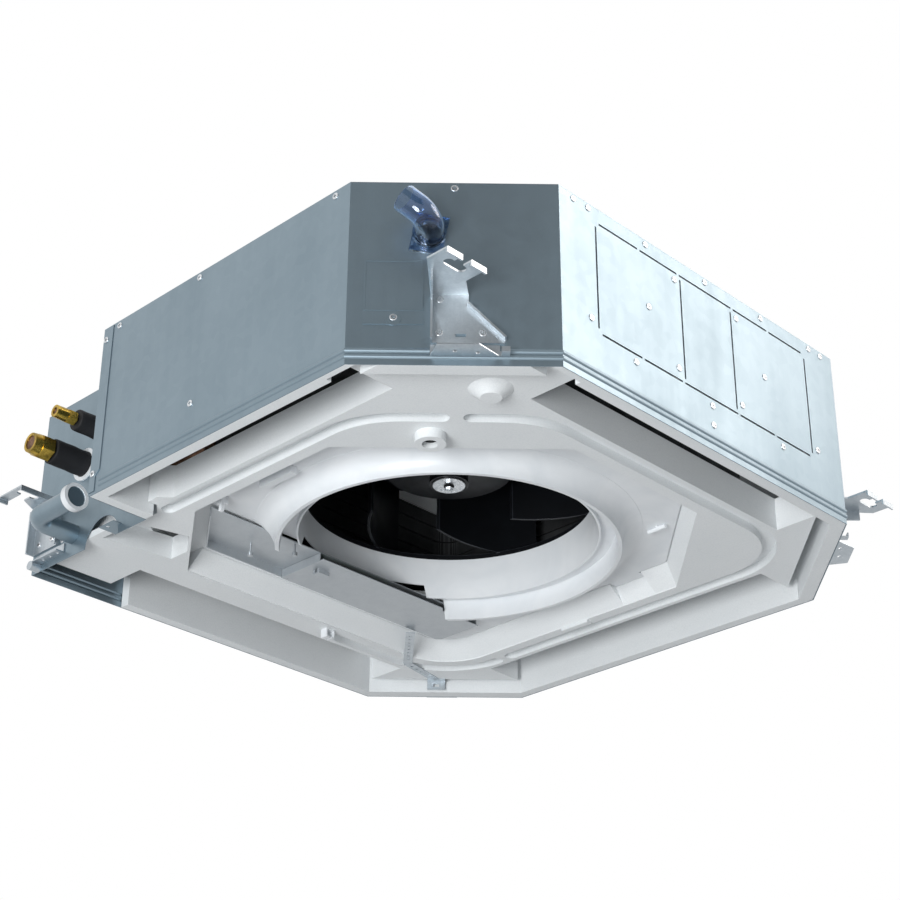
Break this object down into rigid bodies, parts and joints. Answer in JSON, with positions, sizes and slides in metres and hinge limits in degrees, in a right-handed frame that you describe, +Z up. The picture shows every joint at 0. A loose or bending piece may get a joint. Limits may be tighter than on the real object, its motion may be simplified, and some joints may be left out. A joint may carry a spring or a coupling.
{
  "type": "ceiling cassette air conditioner",
  "caption": "Square ceiling cassette body with cut corners, a round air inlet, a centrifugal fan, a coil, a drain pan and hangers.",
  "frame": {"origin": "Middle of the body in the plane of the casing's lower edge, which the ceiling panel seats on.", "axes": "+Z up towards the roof plate. +X along the side with the knock-outs, towards its right end. +Y from that side to the opposite one."},
  "size_m": [0.8458, 0.8448, 0.2468],
  "materials": {
    "steel": "satin zinc-coated sheet",
    "bracket": "bright zinc plate",
    "box_sheet": "smooth zinc-coated sheet",
    "screws": "bright zinc",
    "foam": "moulded bead foam",
    "white_moulding": "satin",
    "black_moulding": "satin",
    "rubber": "matt",
    "motor": "satin",
    "fins": "bright fins",
    "copper": "drawn copper",
    "brass": "turned",
    "clear_blue": "clear, tinted blue",
    "board": "lacquered board"
  },
  "bodies": {
    "casing": {"side_left": "steel", "side_right": "steel", "side_rear_right": "steel", "side_rear_left": "steel", "corner_front": "steel", "corner_right": "steel", "corner_rear": "steel", "piping_plate": "steel", "end_strip": "steel", "roof_plate": "steel", "casing_screws": "screws", "foam_lining": "foam", "drain_pan": "foam", "drain_plug": "rubber", "inlet_moulding": "white_moulding", "fan_motor": "motor", "motor_plate": "steel", "rubber_feet": "rubber", "coil_fins": "fins", "tube_plates": "steel", "return_bends": "copper", "gas_pipe": "copper", "liquid_pipe": "copper", "gas_sleeve": "rubber", "liquid_sleeve": "rubber", "pipe_collars": "white_moulding", "port_pipe": "white_moulding", "port_cap": "white_moulding", "hanger_front": "bracket", "hanger_right": "bracket", "hanger_rear": "bracket", "hanger_left": "bracket", "lower_plates": "bracket", "service_cover": "steel", "drain_outlet": "clear_blue", "drain_pump": "white_moulding", "drain_hose": "rubber", "control_box": "box_sheet", "box_cover": "box_sheet", "circuit_board": "board", "terminal_block": "white_moulding", "box_screws": "screws", "wire_clips": "white_moulding", "rear_strap": "bracket", "air_sensor": "white_moulding"},
    "fan": {"fan_wheel": "black_moulding", "hub_washer": "screws", "hub_grommet": "rubber", "fan_nut": "screws", "fan_shaft": "screws"},
    "impeller": {"pump_impeller": "black_moulding"},
    "float_switch": {"float": "white_moulding"},
    "gas_nut": {"gas_nut": "brass"},
    "liquid_nut": {"liquid_nut": "brass"}
  },
  "joints": [
    {"name": "fan_spin", "type": "hinge", "parent": "casing", "child": "fan", "pos_m": [0, 0, 0.15], "axis": [0, 0, 1], "continuous": true},
    {"name": "pump_spin", "type": "hinge", "parent": "casing", "child": "impeller", "pos_m": [-0.25739, -0.31537, 0.06], "axis": [0, 0, 1], "continuous": true},
    {"name": "float_rise", "type": "slide", "parent": "casing", "child": "float_switch", "axis": [0, 0, 1], "range_m": [0, 0.025]},
    {"name": "gas_nut_turn", "type": "hinge", "parent": "casing", "child": "gas_nut", "pos_m": [-0.405, 0.323, 0.125], "axis": [-1, 0, 0], "continuous": true},
    {"name": "liquid_nut_turn", "type": "hinge", "parent": "casing", "child": "liquid_nut", "pos_m": [-0.4, 0.283, 0.157], "axis": [-1, 0, 0], "continuous": true}
  ]
}
